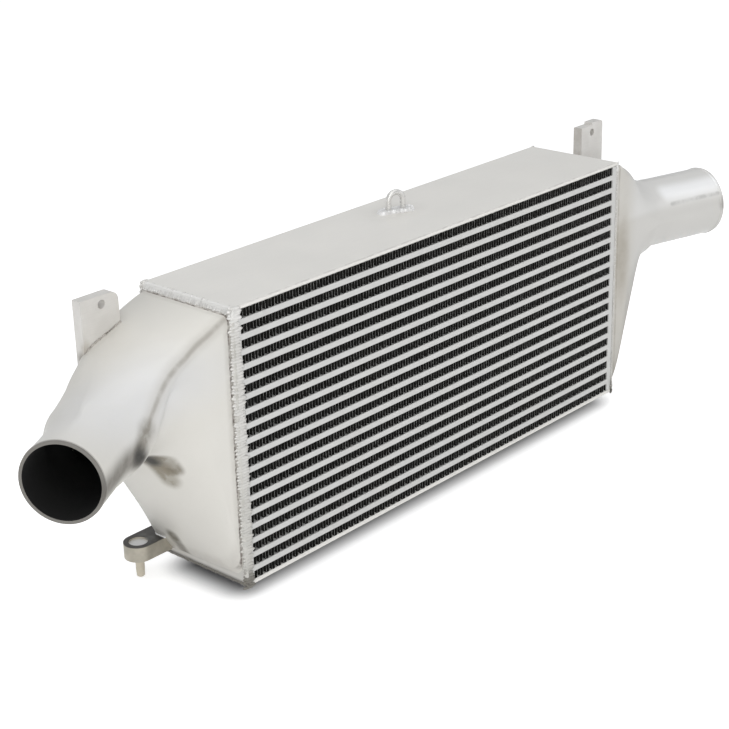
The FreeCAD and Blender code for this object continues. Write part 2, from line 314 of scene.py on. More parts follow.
@dataclass(frozen=True)
class Streak(Mark):
    """A soft line from point to point."""

    points: tuple[Point, ...]
    width: float
    colour: Colour
    strength: float
    broken: float = 0.4
    core: float = 0.1

    def share(self, desk: Painter) -> Socket:
        """Full along the line and nothing past the width."""
        first, *others = [self.reach(desk, Vector(a), Vector(b))
                          for a, b in zip(self.points, self.points[1:])]
        closest = first
        for other in others:
            closest = desk.sum("MINIMUM", closest, other)
        return desk.times(desk.spread(closest, self.width * self.core, self.width, 1.0, 0.0),
                          desk.patches(self.broken))

    @staticmethod
    def reach(desk: Painter, first: Vector, last: Vector) -> Socket:
        """Distance from the leg between two points."""
        leg = last - first
        arm = desk.vector("SUBTRACT", desk.object_place, tuple(first))
        share = desk.vector("DOT_PRODUCT", arm, tuple(leg / leg.length_squared), "Value")
        foot = desk.vector("SCALE", tuple(leg), desk.sum("ADD", share, use_clamp=True))
        return desk.vector("LENGTH", desk.vector("SUBTRACT", arm, foot), result="Value")


@dataclass(frozen=True)
class Metal:
    """A metal finish with its grain, cloudiness and marks.

    Clouds have a scale and a share. The polish is a direction, where it starts and ends
    along it, and the roughness it takes away.
    """

    name: str
    colour: Colour
    tired: Colour
    metallic: float
    roughness: float
    grain: Grain
    bump: float = 0.15
    clouds: tuple[float, float] = (14.0, 0.5)
    marks: tuple[Mark, ...] = ()
    polish: tuple[Point, float, float, float] | None = None
    streak_share: float = 0.22
    bump_depth: float = 0.6 * MM

    def build(self) -> Material:
        """Builds the material."""
        material = bpy.data.materials.new(self.name)
        desk = Painter(material)
        height, streak, limits = self.grain.value
        scale, most = self.clouds
        clouds = desk.spread(desk.clouds(scale, 5.0), *CLOUD_LIMITS, 0.0, most)
        colour = desk.blend(clouds, self.colour, self.tired)
        streaks = desk.spread(desk.clouds(*streak), *limits)
        colour = desk.blend(desk.times(streaks, self.streak_share), colour, self.tired)
        for mark in self.marks:
            colour = mark.lay(desk, colour)
        shine = desk.spread(desk.clouds(scale * 3.0, 3.0), *CLOUD_LIMITS,
                            self.roughness - 0.05, self.roughness + 0.07)
        if self.polish:
            way, start, end, taken = self.polish
            shine = desk.sum("SUBTRACT", shine,
                             desk.spread(desk.along(way), start, end, 0.0, taken))
        bump = desk.add("ShaderNodeBump", {
            "Strength": self.bump, "Distance": self.bump_depth, "Height": desk.clouds(*height)})
        desk.close(desk.add("ShaderNodeBsdfPrincipled", {
            "Base Color": colour, "Metallic": self.metallic, "Roughness": shine,
            "Normal": bump}))
        return material


X_AXIS: Point = (1.0, 0.0, 0.0)
Z_AXIS: Point = (0.0, 0.0, 1.0)
LEFT_PIPE_AXIS: Point = (-0.868632, -0.495459, 0.0)
RIGHT_PIPE_AXIS: Point = (0.961262, -0.275637, 0.0)

CREASE = (
    (-0.312, -0.0558, 0.2741), (-0.324, -0.055, 0.2679), (-0.3344, -0.0539, 0.2622),
    (-0.3445, -0.0526, 0.2575), (-0.3579, -0.052, 0.2491), (-0.3673, -0.0514, 0.2444),
    (-0.3761, -0.0513, 0.2386), (-0.3845, -0.0522, 0.2321), (-0.391, -0.0536, 0.2261),
    (-0.3975, -0.055, 0.2201), (-0.4027, -0.0564, 0.2147), (-0.4099, -0.0584, 0.2064),
)
LEFT_TANK = Metal(
    "left_tank_cast", (0.735, 0.715, 0.668), (0.695, 0.672, 0.622), metallic=0.15,
    roughness=0.5, grain=Grain.CAST, bump=0.06, clouds=(9.0, 0.3), marks=(
        # painted reflection: a cooler, paler tone over the neck and pipe top, standing in for sky
        # light reflected there
        StainOrPaintedLight((-0.415, -0.05, 0.228), (0.15, 0.075, 0.052), (0.715, 0.713, 0.715), 0.8, 0.1),
        # painted shade: a soft wide dark line and a narrow darker core along the crease between
        # neck and body
        Streak(CREASE, 0.013, (0.5, 0.475, 0.43), 0.45, 0.2),
        Streak(CREASE, 0.004, (0.26, 0.235, 0.2), 0.5, 0.4),
        # painted shade: dark streak running down from the crease into the crotch under the pipe
        Streak(((-0.415, -0.0597, 0.199), (-0.4189, -0.0608, 0.195),
                (-0.4245, -0.0625, 0.188), (-0.4276, -0.0627, 0.1816)),
               0.019, (0.17, 0.15, 0.115), 0.8, 0.35),
        # painted shade: dark line along the pipe's lower side up to the crotch
        Streak(((-0.495, -0.096, 0.1855), (-0.4803, -0.0885, 0.186),
                (-0.4475, -0.0715, 0.187), (-0.4331, -0.0652, 0.187)),
               0.019, (0.12, 0.105, 0.085), 0.85, 0.1),
        # painted shade: near-black core of the shade in the crotch
        Streak(((-0.43, -0.064, 0.184), (-0.4216, -0.0591, 0.1764)),
               0.015, (0.01, 0.008, 0.005), 1.0, 0.05, 0.1),
        # painted shade: dark patch and streaks on the face below the pipe's junction, with a
        # near-black core
        StainOrPaintedLight((-0.36, -0.0165, 0.134), (0.013, 0.017, 0.016), (0.26, 0.225, 0.165), 0.8, 0.3),
        Streak(((-0.3765, -0.011, 0.148), (-0.3698, -0.012, 0.14),
                (-0.3606, -0.0127, 0.1303), (-0.353, -0.0139, 0.1176)),
               0.015, (0.24, 0.21, 0.155), 0.9, 0.3, 0.3),
        Streak(((-0.37, -0.018, 0.146), (-0.3619, -0.0234, 0.142),
                (-0.3549, -0.0241, 0.1316)), 0.012, (0.19, 0.165, 0.12), 0.9, 0.35, 0.3),
        Streak(((-0.379, -0.0131, 0.15), (-0.37, -0.012, 0.141)),
               0.013, (0.012, 0.01, 0.006), 1.0, 0.05, 0.1),
        # painted shade: soft darker stripe along the face beside the seam
        Band(X_AXIS, -0.3105, 0.006, (0.47, 0.44, 0.4), 0.3, 0.4),
        Band(X_AXIS, -0.3094, 0.0013, (0.1, 0.07, 0.06), 0.85, 0.8, 160.0, 0.016),
        # painted shade: dark line above the lug's weld and a dark patch on the tank beside the lug
        Streak(((-0.325, 0.062, 0.03), (-0.3226, 0.042, 0.029)),
               0.006, (0.3, 0.27, 0.22), 0.6, 0.3),
        Streak(((-0.3206, 0.027, 0.033), (-0.316, 0.0243, 0.0209),
                (-0.311, 0.024, 0.008)), 0.0115, (0.12, 0.105, 0.075), 0.9, 0.25, 0.2),
        Fade(LEFT_PIPE_AXIS, 0.4755, 0.4785, (0.14, 0.13, 0.115), 0.9),
    ),
)
RIGHT_TANK = Metal(
    "right_tank_cast", (0.72, 0.71, 0.69), (0.68, 0.665, 0.64), metallic=0.15,
    roughness=0.46, grain=Grain.CAST, bump=0.04, clouds=(9.0, 0.3), marks=(
        # painted shade: darker, warmer tone over the right tank below about 210 mm
        Fade(Z_AXIS, 0.216, 0.206, (0.63, 0.615, 0.585), 0.85),
        # painted shade: darker stripe over the dome beside the seam
        Band(X_AXIS, 0.305, 0.04, (0.5, 0.46, 0.385), 0.45, 0.1),
        Band(X_AXIS, 0.309, 0.0012, (0.3, 0.27, 0.23), 0.5, 0.6),
        StainOrPaintedLight((0.316, -0.063, 0.165), (0.018, 0.02, 0.075), (0.33, 0.29, 0.23), 0.55, 0.2),
        # painted highlight: bright band along the upper third of the right pipe
        Streak(((0.405, -0.064, 0.226), (0.4404, -0.0748, 0.2243), (0.475, -0.0845, 0.225)),
               0.017, (0.95, 0.95, 0.95), 0.9, 0.0),
        # painted reflection: thin grey line of the horizon along the right pipe, under the
        # highlight
        Streak(((0.4039, -0.0733, 0.2128), (0.4316, -0.0808, 0.2134),
                (0.4746, -0.0933, 0.2133)), 0.004, (0.34, 0.335, 0.32), 0.5, 0.6),
        Fade(RIGHT_PIPE_AXIS, 0.4873, 0.4879, (0.42, 0.4, 0.37), 0.8),
        StainOrPaintedLight((0.48, -0.098, 0.2), (0.01, 0.016, 0.012), (0.2, 0.18, 0.16), 0.7, 0.3),
    ),
    polish=(RIGHT_PIPE_AXIS, 0.37, 0.43, 0.12),
)
# painted shade: near-black finish for the faces inside the tank and pipe
BORE = Metal(
    "pipe_inside_painted_shade", (0.004, 0.004, 0.004), (0.01, 0.009, 0.008), metallic=0.0,
    roughness=0.9, grain=Grain.CAST, bump=0.2,
)
PLATE = Metal(
    "core_plate", (0.835, 0.815, 0.775), (0.775, 0.755, 0.715), metallic=0.2,
    roughness=0.42, grain=Grain.BRUSHED, bump=0.04, clouds=(10.0, 0.35), marks=(
        Streak(((-0.3, -0.06, 0.2836), (0.304, -0.06, 0.2836)),
               0.0017, (0.34, 0.33, 0.31), 0.6, 0.6),
        StainOrPaintedLight((0.007, 0.016, 0.2836), (0.05, 0.032, 0.006), (0.66, 0.635, 0.6), 0.6, 0.4),
    ),
)
BAR = Metal(
    "core_bar", (0.63, 0.625, 0.61), (0.57, 0.565, 0.545), metallic=0.25,
    roughness=0.42, grain=Grain.BRUSHED, bump=0.05, clouds=(30.0, 0.4),
)
WELD = Metal(
    "weld_metal", (0.78, 0.77, 0.75), (0.56, 0.545, 0.51), metallic=0.35,
    roughness=0.36, grain=Grain.PUDDLED, bump=0.25, clouds=(60.0, 0.6), marks=(
        # painted shade: the ripples darken below the top run, more towards the bottom, and go near
        # black along the bottom run
        Fade(Z_AXIS, 0.278, 0.255, (0.6, 0.585, 0.555), 0.6),
        Fade(Z_AXIS, 0.2, 0.02, (0.44, 0.43, 0.39), 0.5),
        Fade(Z_AXIS, 0.026, 0.007, (0.11, 0.1, 0.08), 0.85),
    ),
)
TOE = Metal(
    "weld_toe", (0.6, 0.585, 0.55), (0.4, 0.385, 0.35), metallic=0.25,
    roughness=0.46, grain=Grain.PUDDLED, bump=0.15, clouds=(60.0, 0.6), marks=(
        Fade(Z_AXIS, 0.02, 0.016, (0.56, 0.545, 0.515), 1.0),
        Fade(Z_AXIS, 0.27, 0.276, (0.8, 0.79, 0.765), 1.0),
        # painted shade: near-black along the bottom edge of the bead
        Fade(Z_AXIS, 0.0085, 0.004, (0.07, 0.063, 0.053), 0.95),
    ),
)
BURN = Metal(
    "weld_burnt", (0.16, 0.14, 0.12), (0.5, 0.47, 0.43), metallic=0.3,
    roughness=0.45, grain=Grain.PUDDLED, bump=0.35, clouds=(140.0, 0.9),
)
BRACKET = Metal(
    "bracket_plate", (0.74, 0.72, 0.69), (0.62, 0.6, 0.565), metallic=0.25,
    roughness=0.42, grain=Grain.BRUSHED, bump=0.06, clouds=(40.0, 0.5), marks=(
        StainOrPaintedLight((-0.4005, 0.038, 0.24), (0.007, 0.01, 0.01), (0.14, 0.12, 0.09), 0.9, 0.3),
        StainOrPaintedLight((-0.3985, 0.0345, 0.248), (0.009, 0.008, 0.014), (0.45, 0.41, 0.35), 0.6, 0.3),
        Band(X_AXIS, 0.369, 0.001, (0.46, 0.43, 0.39), 0.7, 0.4),
    ),
)
LUG = Metal(
    "lug_cast", (0.5, 0.465, 0.39), (0.32, 0.295, 0.24), metallic=0.35,
    roughness=0.4, grain=Grain.PUDDLED, bump=0.18, clouds=(50.0, 0.8), marks=(
        # painted shade: near-black top of the lug, under the tank
        Fade(Z_AXIS, 0.0232, 0.0238, (0.066, 0.062, 0.058), 0.97),
        StainOrPaintedLight((-0.328, 0.056, 0.024), (0.01, 0.016, 0.003), (0.3, 0.3, 0.29), 0.6, 0.9),
    ),
)
PIN = Metal(
    "pin_steel", (0.6, 0.55, 0.45), (0.44, 0.4, 0.32), metallic=0.5,
    roughness=0.34, grain=Grain.BRUSHED, bump=0.06, clouds=(60.0, 0.5),
    # painted highlight: pale, bright top of the pin's head
    marks=(Fade(Z_AXIS, 0.012, 0.018, (0.82, 0.82, 0.83), 0.8),),
)
ROD = Metal(
    "loop_rod", (0.74, 0.73, 0.71), (0.6, 0.59, 0.565), metallic=0.45,
    roughness=0.3, grain=Grain.SMOOTH, bump=0.06, clouds=(60.0, 0.5),
)
PAD = Metal(
    "loop_pad", (0.88, 0.875, 0.87), (0.5, 0.49, 0.48), metallic=0.15,
    roughness=0.3, grain=Grain.PUDDLED, bump=0.3, clouds=(190.0, 0.45),
)


@dataclass(frozen=True)
class FinMetal:
    """Thin strip, light along its cut edges and dark between its folds; the dark is partly the
    strip's own tone and partly painted shade of the deep folds.
    """

    name: str = "fin_strip"
    edge: Colour = (0.7, 0.7, 0.68)
    # partly painted shade: near-black tone of the strip past its cut edge, where the deep folds
    # lie in shade
    inside: Colour = (0.017, 0.0165, 0.015)
    face: float = 59.2 * MM
    depth: float = 0.12 * MM
    wear_scale: float = 260.0
    roughness: float = 0.75
    gloss: float = 0.1

    def build(self) -> Material:
        """Builds the material."""
        material = bpy.data.materials.new(self.name)
        desk = Painter(material)
        away = desk.sum("ABSOLUTE", desk.axis("Y"))
        rim = desk.spread(away, self.face - self.depth, self.face - self.depth / 3)
        worn = desk.spread(desk.clouds(self.wear_scale, 3.0), 0.35, 0.65, 0.3, 1.0)
        desk.close(desk.add("ShaderNodeBsdfPrincipled", {
            "Base Color": desk.blend(desk.times(rim, worn), self.inside, self.edge),
            "Metallic": 0.0, "Roughness": self.roughness, "Specular IOR Level": self.gloss}))
        return material


class Workshop:
    """Keeps each finish once and turns meshes into pieces of the object."""

    def __init__(self) -> None:
        """Starts with an empty store."""
        self.store: dict[str, Material] = {}

    def finish(self, kind: Metal | FinMetal) -> Material:
        """The material of a finish, built at its first use."""
        if kind.name not in self.store:
            self.store[kind.name] = kind.build()
        return self.store[kind.name]

    def dress(self, node: str, kind: Metal) -> None:
        """Gives its finish to a solid that stays as it is."""
        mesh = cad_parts[node].data
        mesh.materials.clear()
        mesh.materials.append(self.finish(kind))
        LOG.info("dressed %s", node)

    def piece(self, name: str, mesh: Mesh, kinds: list[Metal | FinMetal], slot: str,
              stands_for: str | None = None) -> None:
        """Makes a piece that rides on the object.

        Args:
            name: the piece's name.
            mesh: its mesh, in place.
            kinds: its finishes, by material index.
            slot: not used.
            stands_for: the solid it replaces.
        """
        indices = [min(face.material_index, len(kinds) - 1) for face in mesh.polygons]
        mesh.materials.clear()
        for kind in kinds:
            mesh.materials.append(self.finish(kind))
        mesh.polygons.foreach_set("material_index", indices)
        made = bpy.data.objects.new(name, mesh)
        bpy.context.scene.collection.objects.link(made)
        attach(made, BODY)
        if stands_for:
            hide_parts(stands_for)
        LOG.info("built %s with %d faces", name, len(mesh.polygons))


def merged_mesh(node: str, angle: float = 28.0) -> Mesh:
    """A welded copy of a solid's loose triangles, smooth except at its edges.

    Args:
        node: the solid's name.
        angle: edges sharper than this many degrees stay crisp.

    Returns:
        The new mesh.
    """
    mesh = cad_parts[node].data.copy()
    if "custom_normal" in mesh.attributes:
        mesh.attributes.remove(mesh.attributes["custom_normal"])
    work = bmesh.new()
    work.from_mesh(mesh)
    bmesh.ops.remove_doubles(work, verts=work.verts, dist=0.004 * MM)
    for face in work.faces:
        face.smooth = True
    for edge in work.edges:
        edge.smooth = edge.calc_face_angle(0.0) < math.radians(angle)
    work.to_mesh(mesh)
    work.free()
    return mesh


def smooth(mesh: Mesh, angle: float) -> None:
    """Smooth shading with crisp edges past an angle in degrees."""
    mesh.polygons.foreach_set("use_smooth", [True] * len(mesh.polygons))
    mesh.set_sharp_from_angle(angle=math.radians(angle))


def soften(mesh: Mesh, rounds: int) -> None:
    """Spreads the normals of smooth areas, so that shallow ridges shade softly.

    Args:
        mesh: the mesh; its sharp edges stay crisp.
        rounds: how many times each normal is averaged with its neighbours'.
    """
    normals = np.empty((len(mesh.vertices), 3), dtype=np.float32)
    mesh.vertex_normals.foreach_get("vector", normals.ravel())
    edges = np.empty((len(mesh.edges), 2), dtype=np.int32)
    mesh.edges.foreach_get("vertices", edges.ravel())
    sharp = np.array([edge.use_edge_sharp for edge in mesh.edges], dtype=bool)
    fixed = np.zeros(len(mesh.vertices), dtype=bool)
    fixed[edges[sharp].ravel()] = True
    inner = edges[~(fixed[edges[:, 0]] | fixed[edges[:, 1]])]
    for _ in range(rounds):
        total = normals.copy()
        np.add.at(total, inner[:, 0], normals[inner[:, 1]])
        np.add.at(total, inner[:, 1], normals[inner[:, 0]])
        normals = total / np.maximum(np.linalg.norm(total, axis=1, keepdims=True), 1e-9)
    corners = np.empty((len(mesh.loops), 3), dtype=np.float32)
    mesh.corner_normals.foreach_get("vector", corners.ravel())
    owners = np.empty(len(mesh.loops), dtype=np.int32)
    mesh.loops.foreach_get("vertex_index", owners)
    free = ~fixed[owners]
    corners[free] = normals[owners[free]]
    mesh.normals_split_custom_set(corners.tolist())


class Recipe(NodeDesk):
    """A Geometry Nodes tree with named inputs."""

    def __init__(self, name: str, takes: list[tuple[str, str]]) -> None:
        """Starts a tree that takes a geometry and inputs of these types and names."""
        super().__init__(bpy.data.node_groups.new(name, "GeometryNodeTree"))
        socket = self.tree.interface.new_socket
        for kind, label in (("Geometry", "Geometry"), *takes):
            socket(label, in_out="INPUT", socket_type="NodeSocket" + kind)
        socket("Geometry", in_out="OUTPUT", socket_type="NodeSocketGeometry")
        self.given = self.add("NodeGroupInput").outputs
        self.result = self.add("NodeGroupOutput").inputs

    def random(self, data_type: str, **inputs: object) -> Socket:
        """Random value of a type, FLOAT or FLOAT_VECTOR, for each element."""
        node = self.add("FunctionNodeRandomValue", inputs, data_type=data_type)
        wanted = "VALUE" if data_type == "FLOAT" else "VECTOR"
        return next(s for s in node.outputs if s.enabled and s.type == wanted)

    def close(self, geometry: Node) -> None:
        """Makes instances real, gives the finish and joins the output."""
        whole = self.add("GeometryNodeRealizeInstances", {"Geometry": geometry})
        done = self.add("GeometryNodeSetMaterial", {
            "Geometry": whole, "Material": self.given["Finish"]})
        self.plug(done, self.result["Geometry"])

    def bake(self, start: Mesh, values: dict[str, object]) -> Mesh:
        """Runs the tree on a mesh and returns a plain mesh.

        Args:
            start: the mesh that goes in.
            values: value of each named input.

        Returns:
            The result.
        """
        holder = bpy.data.objects.new("holder", start)
        bpy.context.scene.collection.objects.link(holder)
        modifier = holder.modifiers.new("recipe", "NODES")
        modifier.node_group = self.tree
        for item in self.tree.interface.items_tree:
            if item.item_type == "SOCKET" and item.in_out == "INPUT" and item.name in values:
                modifier[item.identifier] = values[item.name]
        graph = bpy.context.evaluated_depsgraph_get()
        mesh = bpy.data.meshes.new_from_object(holder.evaluated_get(graph))
        holder.modifiers.remove(modifier)
        bpy.data.objects.remove(holder)
        return mesh


def folded_strip_recipe() -> Recipe:
    """Tree that folds a flat strip into near-upright walls joined by flat crests.

    A fold has four steps: along a trough, up, along a crest and down. A step has two
    points, one on either long edge of the strip.
    """
    recipe = Recipe("folded_strip", [
        ("Float", "Pitch"), ("Float", "Depth"), ("Float", "Height"), ("Int", "Folds"),
        ("Float", "Crest"), ("Float", "Thickness"), ("Float", "Unevenness"), ("Int", "Seed"),
        ("Material", "Finish"),
    ])
    add, given, result, times = recipe.add, recipe.given, recipe.sum, recipe.times
    grid = add("GeometryNodeMeshGrid", {
        "Size X": 1.0, "Size Y": given["Depth"], "Vertices Y": 2,
        "Vertices X": result("ADD", times(given["Folds"], 4.0), 1.0)})
    step = result("FLOOR", result("DIVIDE", add("GeometryNodeInputIndex"), 2.0))
    corner = result("MODULO", step, 4.0)
    fold = result("FLOOR", result("DIVIDE", step, 4.0))
    high = result("GREATER_THAN", corner, 1.5)
    second = result("MODULO", corner, 2.0)
    share = result("ADD", times(high, 0.5), times(second, given["Crest"]))
    jitter = recipe.random("FLOAT", Min=times(given["Unevenness"], -1.0),
                           Max=given["Unevenness"], ID=step, Seed=given["Seed"])
    run = result("ADD", times(result("ADD", fold, share), given["Pitch"]), jitter)
    half = times(times(given["Folds"], given["Pitch"]), 0.5)
    place = add("GeometryNodeInputPosition")
    moved = add("ShaderNodeCombineXYZ", {
        "X": result("SUBTRACT", run, half),
        "Y": add("ShaderNodeSeparateXYZ", {0: place}).outputs["Y"],
        "Z": times(high, result("SUBTRACT", given["Height"], given["Thickness"]))})
    folded = add("GeometryNodeSetPosition", {"Geometry": grid, "Position": moved})
    thick = add("GeometryNodeExtrudeMesh", {
        "Mesh": folded, "Offset Scale": given["Thickness"], "Individual": False})
    under = add("GeometryNodeFlipFaces", {"Mesh": folded})
    both = add("GeometryNodeJoinGeometry")
    for part in (thick, under):
        recipe.plug(part, both.inputs[0])
    recipe.close(add("GeometryNodeMergeByDistance", {
        "Geometry": both, "Distance": 0.001 * MM}))
    return recipe


def ripple_recipe() -> Recipe:
    """Tree that lays weld ripples along a line, as flattened balls of uneven size and tilt."""
    recipe = Recipe("weld_ripples", [
        ("Float", "Spacing"), ("Vector", "Half size"), ("Vector", "Across"),
        ("Float", "Unevenness"), ("Float", "Tilt"), ("Int", "Seed"), ("Material", "Finish"),
    ])
    add, given, result = recipe.add, recipe.given, recipe.sum
    line = add("GeometryNodeMeshToCurve", {"Mesh": given["Geometry"]})
    points = add("GeometryNodeCurveToPoints", {
        "Curve": line, "Length": given["Spacing"]}, mode="LENGTH")
    upright = add("FunctionNodeAlignRotationToVector", {
        "Vector": points.outputs["Tangent"]}, axis="Z")
    aligned = add("FunctionNodeAlignRotationToVector", {
        "Rotation": upright, "Vector": given["Across"]}, axis="X", pivot_axis="Z")
    ball = add("GeometryNodeMeshUVSphere", {"Radius": 1.0, "Segments": 10, "Rings": 6})
    swing = recipe.random("FLOAT_VECTOR", Seed=given["Seed"])
    lean = recipe.vector("SUBTRACT", swing, (0.5, 0.5, 0.5))
    turned = add("FunctionNodeRotateRotation", {
        "Rotation": aligned, "Rotate By": recipe.vector("SCALE", lean, given["Tilt"])},
        rotation_space="LOCAL")
    factor = recipe.random("FLOAT", Min=result("SUBTRACT", 1.0, given["Unevenness"]),
                           Max=result("ADD", 1.0, given["Unevenness"]),
                           Seed=result("ADD", given["Seed"], 7.0))
    recipe.close(add("GeometryNodeInstanceOnPoints", {
        "Points": points, "Instance": ball, "Rotation": turned,
        "Scale": recipe.vector("SCALE", given["Half size"], factor)}))
    return recipe


def line_mesh(points: list[Vector]) -> Mesh:
    """A mesh of edges through points, in order."""
    mesh = bpy.data.meshes.new("line")
    edges = [(i, i + 1) for i in range(len(points) - 1)]
    mesh.from_pydata([tuple(p) for p in points], edges, [])
    return mesh


def joined(meshes: list[Mesh]) -> Mesh:
    """One mesh from several."""
    work = bmesh.new()
    for mesh in meshes:
        work.from_mesh(mesh)
    whole = bpy.data.meshes.new("joined")
    work.to_mesh(whole)
    work.free()
    return whole


def ring_mesh(centre: Vector, axis: Vector, outline: list[tuple[float, float]]) -> Mesh:
    """A closed outline turned round an axis.

    Args:
        centre: a point of the axis.
        axis: the axis.
        outline: radius and place along the axis of each corner.

    Returns:
        The mesh.
    """
    across = axis.orthogonal().normalized()
    other = axis.cross(across)
    points: list[Vector] = []
    for step in range(RING_STEPS):
        turn = math.tau * step / RING_STEPS
        out = across * math.cos(turn) + other * math.sin(turn)
        points += [centre + out * radius + axis * along for radius, along in outline]
    size = len(outline)
    faces = []
    for i in range(RING_STEPS):
        here, there = i * size, (i + 1) % RING_STEPS * size
        for j in range(size):
            after = (j + 1) % size
            faces.append((here + j, here + after, there + after, there + j))
    mesh = bpy.data.meshes.new("ring")
    mesh.from_pydata([tuple(p) for p in points], [], faces)
    work = bmesh.new()
    work.from_mesh(mesh)
    bmesh.ops.recalc_face_normals(work, faces=work.faces)
    work.to_mesh(mesh)
    work.free()
    smooth(mesh, 40.0)
    return mesh


def solid_tree(node: str) -> BVHTree:
    """Search tree of a solid's faces, for rays."""
    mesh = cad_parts[node].data
    corners = [v.co for v in mesh.vertices]
    return BVHTree.FromPolygons(corners, [p.vertices[:] for p in mesh.polygons])


def meeting_line(first: Point, last: Point, way: Point, count: int) -> list[Vector]:
    """Where rays from a row of evenly spaced places meet the left tank.

    Args:
        first: one end of the row.
        last: the other end.
        way: the rays' direction.
        count: number of rays.

    Returns:
        The places met, in order.
    """
    tree = solid_tree("left_tank")
    points = []
    for step in range(count):
        start = [a + (b - a) * (step + 0.5) / count for a, b in zip(first, last)]
        hit = tree.ray_cast(Vector(start), Vector(way))[0]
        if hit:
            points.append(hit)
    return points


@dataclass
class Core:
    """End plates, charge tubes, end bars and the folded air fins."""

    shop: Workshop
    pitch: float = 8.14 * MM
    crest: float = 0.44
    thickness: float = 0.25 * MM
    unevenness: float = 0.36 * MM
    end_room: float = 1.2 * MM

    def build(self) -> None:
        """Dresses the plates and bars and lays a fine strip in every air row."""
        for node in ("core_bottom_plate", "core_top_plate"):
            self.shop.dress(node, PLATE)
        for node in sorted(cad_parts):
            if node.startswith("charge_tube") or node.endswith("_header"):
                self.shop.dress(node, BAR)
        recipe = folded_strip_recipe()
        rows = sorted(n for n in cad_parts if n.startswith("air_fin_row"))
        for number, node in enumerate(rows):
            self.fill(recipe, node, number)

    def fill(self, recipe: Recipe, node: str, number: int) -> None:
        """Lays one row's strip.

        Args:
            recipe: the folding tree.
            node: the row's solid.
            number: the row's number, which seeds its unevenness.
        """
        low, high = (Vector(c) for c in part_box(node))
        room = high - low
        folds = round(room.x / self.pitch)
        mesh = recipe.bake(bpy.data.meshes.new("start"), {
            "Pitch": (room.x - self.end_room) / folds, "Depth": room.y, "Height": room.z,
            "Folds": folds, "Crest": self.crest, "Thickness": self.thickness,
            "Unevenness": self.unevenness, "Seed": number,
            "Finish": self.shop.finish(FinMetal())})
        middle = ((low.x + high.x) / 2, (low.y + high.y) / 2, low.z)
        mesh.transform(Matrix.Translation(middle))
        self.shop.piece(node + "_folds", mesh, [FinMetal()], "fin_strip", node)


@dataclass
class Tank:
    """A cast end tank with its pipe.

    The lip's corners are shares of its rise and, back from its end, of its half width.
    """

    shop: Workshop
    side: Side
    mouth: Point
    axis: Point
    radius: float
    lip_rise: float
    lip_width: float
    finish: Metal
    lip_setback: float = 2.2 * MM
    lip_root: float = 0.5 * MM
    lip_corners: tuple[tuple[float, float], ...] = ((0.7, 0.0), (1.0, 0.5), (1.0, 1.0), (0.6, 1.6))
    pipe_reach: float = 110.0 * MM
    bore_wall: float = 1.5 * MM
    facing: float = 0.3
    crisp_angle: float = 62.0
    softness: int = 60
    ray_start: float = 0.2 * MM
    rays_stopped: int = 4

    def build(self) -> None:
        """Welds the solid's triangles, paints the inside near black as painted shade and adds the
        pipe's lip.
        """
        node = self.side.word + "_tank"
        mesh = merged_mesh(node, self.crisp_angle)
        soften(mesh, self.softness)
        self.mark_inside(mesh)
        self.shop.piece(node + "_skin", mesh, [self.finish, BORE], "tank_cast", node)
        self.shop.piece(self.side.word + "_pipe_lip", self.lip(), [self.finish], "tank_cast")

    def lip(self) -> Mesh:
        """Low rounded ring round the pipe, just inside its end."""
        end, half, root = -self.lip_setback, self.lip_width / 2, self.radius - self.lip_root
        outline = [(self.radius + self.lip_rise * up, end - half * back)
                   for up, back in self.lip_corners]
        return ring_mesh(Vector(self.mouth), Vector(self.axis),
                         [(root, end), *outline, (root, end - half * 2)])

    def mark_inside(self, mesh: Mesh) -> None:
        """Gives the faces that look into the tank the second finish, a near-black painted shade.
        """
        tree = solid_tree(self.side.word + "_tank")
        inner: list[int] = []
        for face in mesh.polygons:
            start = face.center + face.normal * self.ray_start
            stopped = [turn for turn in self.fan(face.normal)
                       if tree.ray_cast(start, turn)[0] is not None]
            inner.append(int(len(stopped) >= self.rays_stopped or self.in_bore(face)))
        mesh.polygons.foreach_set("material_index", inner)

    def in_bore(self, face: bpy.types.MeshPolygon) -> bool:
        """Whether a face looks towards the pipe's axis from inside the pipe."""
        arm = face.center - Vector(self.mouth)
        along = arm.dot(Vector(self.axis))
        spoke = arm - Vector(self.axis) * along
        inside = spoke.length < self.radius - self.bore_wall and -self.pipe_reach < along
        return inside and face.normal.dot(spoke) < -self.facing * spoke.length

    @staticmethod
    def fan(normal: Vector) -> list[Vector]:
        """Five directions round a normal: itself and four that lean by half its length."""
        across = normal.orthogonal().normalized()
        leans = [side * 0.5 * sign for sign in (-1, 1) for side in (across, normal.cross(across))]
        return [normal, *((normal + lean).normalized() for lean in leans)]


